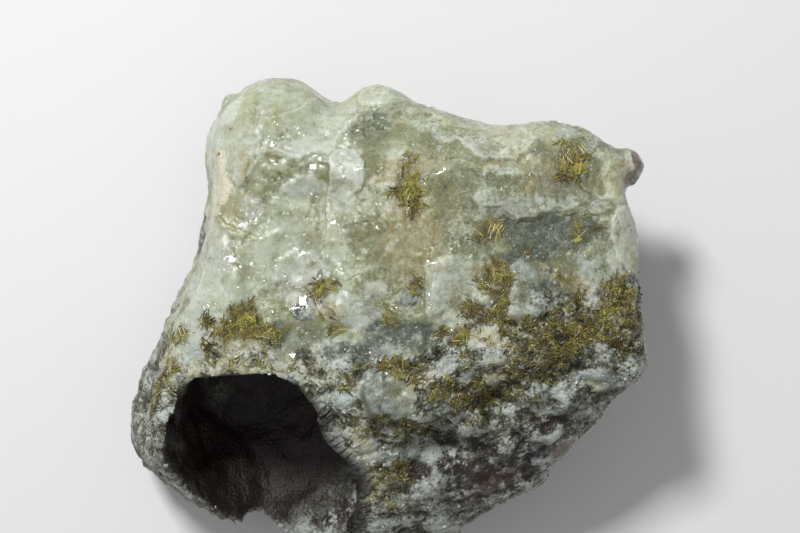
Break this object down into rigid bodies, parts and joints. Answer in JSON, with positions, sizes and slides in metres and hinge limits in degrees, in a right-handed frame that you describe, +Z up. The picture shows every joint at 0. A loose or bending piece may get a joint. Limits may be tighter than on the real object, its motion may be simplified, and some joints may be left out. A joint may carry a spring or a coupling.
{
  "type": "raw prehnite with epidote",
  "caption": "Rough broken hand specimen of pale green prehnite with epidote sprays on grey matrix and an open hollow in one corner, lying on its broken back",
  "frame": {"origin": "below the middle of the stone's box, on the surface that it rests on", "axes": "+X along the stone's longest side, +Y across it towards the two rounded lobes, +Z up through its best face"},
  "size_m": [0.0838, 0.076, 0.0435],
  "materials": {
    "prehnite": "translucent waxy green with granular grey and olive matrix"
  },
  "bodies": {
    "root": {"prehnite_stone": "prehnite"}
  },
  "joints": []
}
